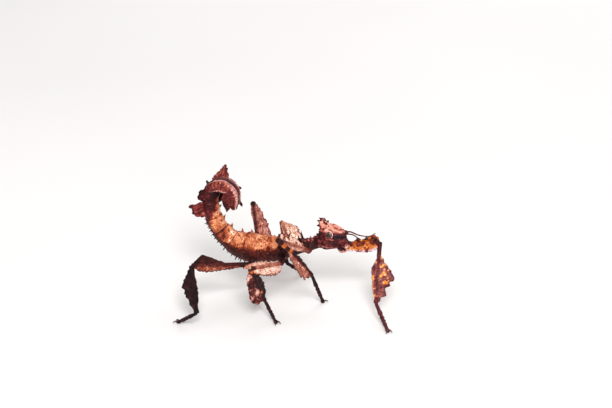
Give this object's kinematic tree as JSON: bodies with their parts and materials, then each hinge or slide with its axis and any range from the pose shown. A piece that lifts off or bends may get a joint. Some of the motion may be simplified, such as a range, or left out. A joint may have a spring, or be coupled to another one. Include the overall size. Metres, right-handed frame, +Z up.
{
  "type": "stick insect",
  "caption": "Life-size spiny leaf-like stick insect nymph standing on six leafy legs, tail curled up and forward over its back, one foreleg stretched out ahead.",
  "frame": {"origin": "on the floor, under the middle of the bounding box", "axes": "+X towards the head, +Y to the insect's left, +Z up"},
  "size_m": [0.0538, 0.0388, 0.0325],
  "materials": {
    "tan_cuticle": "dry granular cuticle, orange-tan with red-brown bands",
    "rust_cuticle": "dry granular cuticle, rust brown, mottled",
    "maroon_cuticle": "dry leafy cuticle, dark maroon with pink edges",
    "dark_cuticle": "dry rough cuticle, near-black brown with salmon patches",
    "bark_cuticle": "dusty bark-like cuticle, pale brown and serrated",
    "foot_cuticle": "slightly glossy dark cuticle",
    "eye_shell": "faceted eye, pale with a dark middle"
  },
  "bodies": {
    "root": {"prothorax": "dark_cuticle", "mesothorax": "rust_cuticle", "metathorax": "rust_cuticle", "abdomen_2": "tan_cuticle", "abdomen_3": "tan_cuticle", "abdomen_4": "tan_cuticle", "abdomen_5": "maroon_cuticle", "abdomen_6": "maroon_cuticle", "abdomen_7": "maroon_cuticle", "abdomen_8": "maroon_cuticle", "abdomen_9": "maroon_cuticle", "abdomen_10": "maroon_cuticle", "lobe_5_right": "maroon_cuticle", "lobe_5_left": "maroon_cuticle", "lobe_6_right": "maroon_cuticle", "lobe_6_left": "maroon_cuticle", "lobe_7_right": "maroon_cuticle", "lobe_7_left": "maroon_cuticle", "lobe_8_right": "maroon_cuticle", "lobe_8_left": "maroon_cuticle", "lobe_9_right": "maroon_cuticle", "lobe_9_left": "maroon_cuticle", "eye_right": "eye_shell", "eye_left": "eye_shell", "head": "dark_cuticle", "mouthparts": "rust_cuticle", "antenna_left": "rust_cuticle", "antenna_right": "rust_cuticle", "coxa_fore_right": "dark_cuticle", "femur_fore_right": "bark_cuticle", "tibia_fore_right": "dark_cuticle", "tarsus_fore_right": "foot_cuticle", "coxa_fore_left": "dark_cuticle", "femur_fore_left": "tan_cuticle", "tibia_fore_left": "rust_cuticle", "tarsus_fore_left": "foot_cuticle", "coxa_mid_right": "dark_cuticle", "femur_mid_right": "bark_cuticle", "tibia_mid_right": "dark_cuticle", "tarsus_mid_right": "foot_cuticle", "coxa_mid_left": "dark_cuticle", "femur_mid_left": "bark_cuticle", "tibia_mid_left": "dark_cuticle", "tarsus_mid_left": "foot_cuticle", "coxa_hind_right": "dark_cuticle", "femur_hind_right": "bark_cuticle", "tibia_hind_right": "dark_cuticle", "tarsus_hind_right": "foot_cuticle", "coxa_hind_left": "dark_cuticle", "femur_hind_left": "bark_cuticle", "tibia_hind_left": "dark_cuticle", "tarsus_hind_left": "foot_cuticle"}
  },
  "joints": []
}
